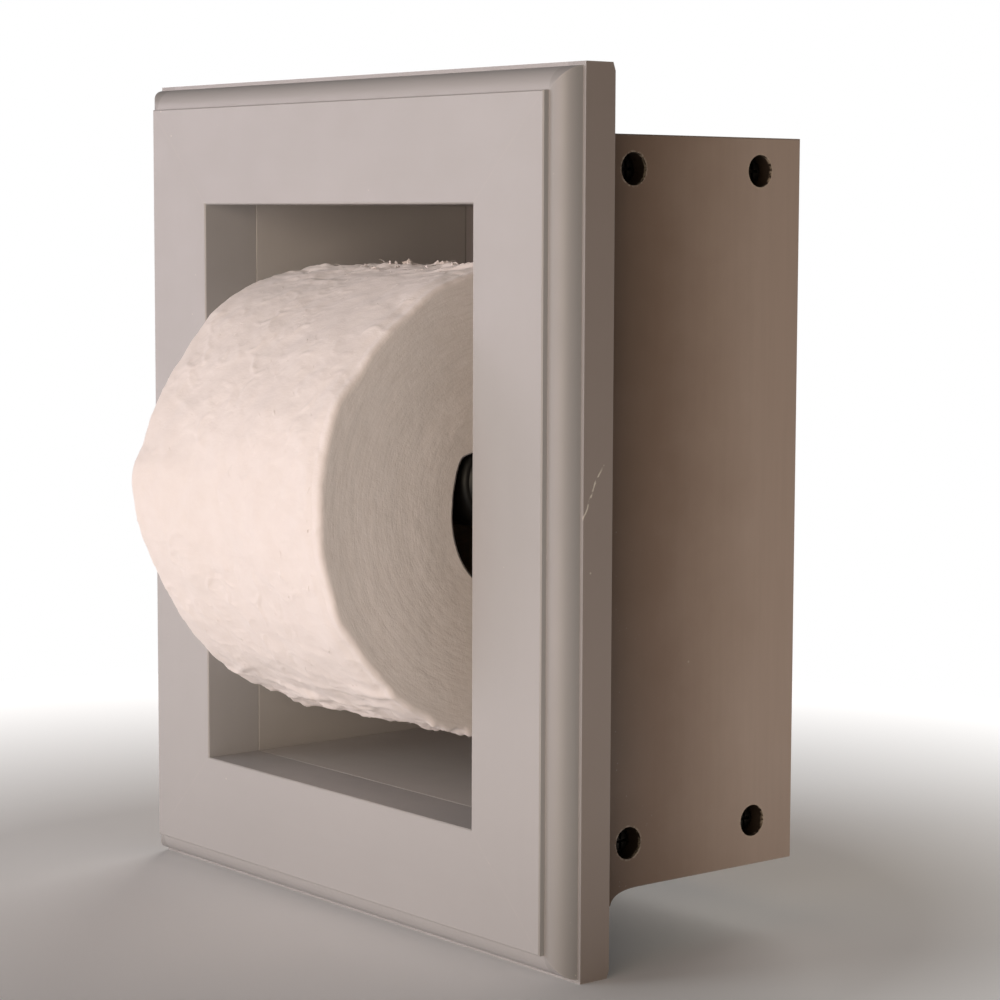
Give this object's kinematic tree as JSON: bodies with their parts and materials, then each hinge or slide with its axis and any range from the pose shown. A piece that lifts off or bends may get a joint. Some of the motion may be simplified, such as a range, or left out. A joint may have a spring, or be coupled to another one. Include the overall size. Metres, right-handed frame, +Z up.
{
  "type": "toilet paper holder",
  "caption": "Recessed wooden toilet paper holder: a mitred, moulded face frame on a screwed box, with a sprung roller that carries a paper roll.",
  "frame": {"origin": "centre of the opening, on the wall's surface, where the back of the face frame lies", "axes": "+X to the right, +Y into the wall, +Z up"},
  "size_m": [0.205, 0.1454, 0.2452],
  "materials": {
    "painted_wood": "satin warm grey paint on planed boards, thin and brushed on the box",
    "plywood": "raw plywood",
    "black_screw": "black phosphate",
    "nail_steel": "bright wire",
    "black_plastic": "glossy moulded",
    "spring_steel": "drawn wire",
    "cardboard": "raw, spiral wound",
    "tissue": "soft embossed tissue"
  },
  "bodies": {
    "housing": {"frame_right_stile": "painted_wood", "frame_top_rail": "painted_wood", "frame_left_stile": "painted_wood", "frame_bottom_rail": "painted_wood", "box_right_side": "painted_wood", "box_left_side": "painted_wood", "box_top_board": "painted_wood", "box_bottom_board": "painted_wood", "box_back_panel": "plywood", "frame_nail_right_stile_1": "nail_steel", "frame_nail_right_stile_2": "nail_steel", "frame_nail_top_rail_1": "nail_steel", "frame_nail_top_rail_2": "nail_steel", "frame_nail_left_stile_1": "nail_steel", "frame_nail_left_stile_2": "nail_steel", "frame_nail_bottom_rail_1": "nail_steel", "frame_nail_bottom_rail_2": "nail_steel", "panel_nail_1": "nail_steel", "panel_nail_2": "nail_steel", "panel_nail_3": "nail_steel", "panel_nail_4": "nail_steel", "screw_right_top_1": "black_screw", "screw_right_top_2": "black_screw", "screw_right_bottom_1": "black_screw", "screw_right_bottom_2": "black_screw", "screw_left_top_1": "black_screw", "screw_left_top_2": "black_screw", "screw_left_bottom_1": "black_screw", "screw_left_bottom_2": "black_screw"},
    "roller": {"roller_sleeve": "black_plastic", "roller_spring": "spring_steel"},
    "plunger": {"roller_plunger": "black_plastic"},
    "roll": {"roll_core": "cardboard", "paper_roll": "tissue", "paper_outer_sheet": "tissue"}
  },
  "joints": [
    {"name": "roller_spin", "type": "hinge", "parent": "housing", "child": "roller", "pos_m": [0, 0.01, 0.0075], "axis": [1, 0, 0], "continuous": true},
    {"name": "plunger_press", "type": "slide", "parent": "roller", "child": "plunger", "axis": [1, 0, 0], "range_m": [0, 0.012], "stiffness_N_per_m": 250, "springref_m": -0.008, "deforming": ["roller_spring"]},
    {"name": "roll_spin", "type": "hinge", "parent": "housing", "child": "roll", "pos_m": [0, 0.01, 0.0012], "axis": [1, 0, 0], "continuous": true}
  ]
}
